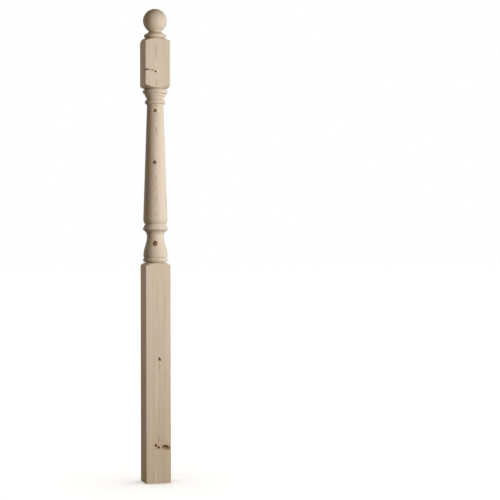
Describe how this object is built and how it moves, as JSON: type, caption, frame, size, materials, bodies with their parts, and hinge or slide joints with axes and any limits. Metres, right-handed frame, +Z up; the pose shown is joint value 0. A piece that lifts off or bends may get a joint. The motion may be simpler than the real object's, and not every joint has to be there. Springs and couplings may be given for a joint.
{
  "type": "newel post",
  "caption": "Square pine newel post with a turned vase, collar and tapered shaft between square blocks, and a ball on a ringed neck at the top.",
  "frame": {"origin": "centre of the sawn foot, on the turning axis", "axes": "+Z up the turning axis, X and Y square to the faces of the blocks, front face towards -Y"},
  "size_m": [0.08, 0.08, 1.5],
  "materials": {
    "pine": "bare sanded softwood, matt, knotty"
  },
  "bodies": {
    "root": {"newel_post": "pine"}
  },
  "joints": []
}
